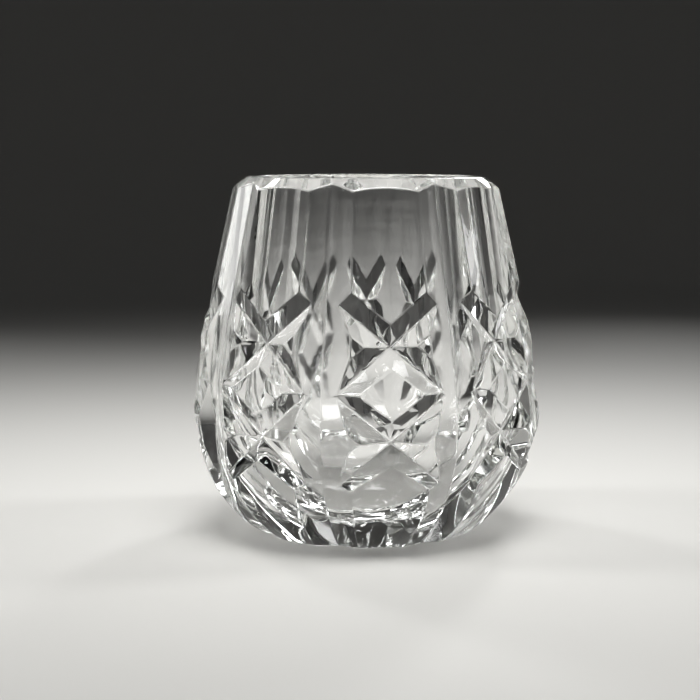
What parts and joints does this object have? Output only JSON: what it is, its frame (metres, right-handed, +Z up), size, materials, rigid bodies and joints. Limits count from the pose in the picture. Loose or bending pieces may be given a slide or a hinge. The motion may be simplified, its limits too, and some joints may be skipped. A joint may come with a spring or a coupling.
{
  "type": "toothpick holder",
  "caption": "Barrel-shaped cut-glass toothpick holder: an open, thick-walled cup with upright flutes, panels of mitre-cut diamonds, a bevelled lip and a flat ground foot.",
  "frame": {"origin": "centre of the ground foot, on the surface that the holder stands on", "axes": "+Z up through the mouth, -Y out through the middle of one diamond panel, and the panels repeat about Z"},
  "size_m": [0.0552, 0.0552, 0.057],
  "materials": {
    "clear_glass": "polished"
  },
  "bodies": {
    "root": {"glass_cup": "clear_glass"}
  },
  "joints": []
}
